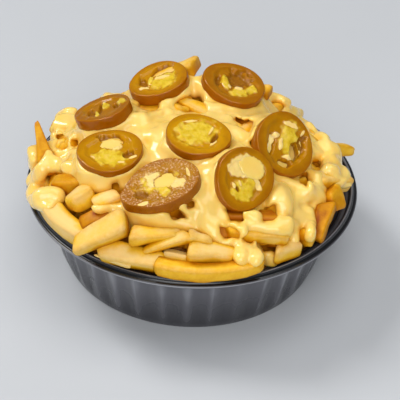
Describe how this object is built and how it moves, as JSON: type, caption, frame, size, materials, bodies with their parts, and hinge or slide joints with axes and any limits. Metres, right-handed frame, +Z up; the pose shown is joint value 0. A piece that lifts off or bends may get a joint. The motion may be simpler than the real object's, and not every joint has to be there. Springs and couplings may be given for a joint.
{
  "type": "cheese fries in a takeaway bowl",
  "caption": "Fries heaped in a round fluted black plastic bowl, under cheese sauce with pickled jalapeno rings on top; a ready-to-serve prop dish.",
  "frame": {"origin": "centre of the bowl's flat base, where it stands", "axes": "+Z up out of the bowl, -Y towards the pictured front, +X to the right"},
  "size_m": [0.188, 0.1844, 0.0972],
  "materials": {
    "bowl": "glossy moulded black polypropylene",
    "fries": "fried potato, golden with paler cut faces",
    "cheese_sauce": "smooth wet cheese sauce",
    "jalapeno": "wet pickled pepper, olive skin and yellow-green seed core"
  },
  "bodies": {
    "root": {"bowl": "bowl", "fries": "fries", "cheese_sauce": "cheese_sauce", "jalapeno_1": "jalapeno", "jalapeno_2": "jalapeno", "jalapeno_3": "jalapeno", "jalapeno_4": "jalapeno", "jalapeno_5": "jalapeno", "jalapeno_6": "jalapeno", "jalapeno_7": "jalapeno", "jalapeno_8": "jalapeno"}
  },
  "joints": []
}
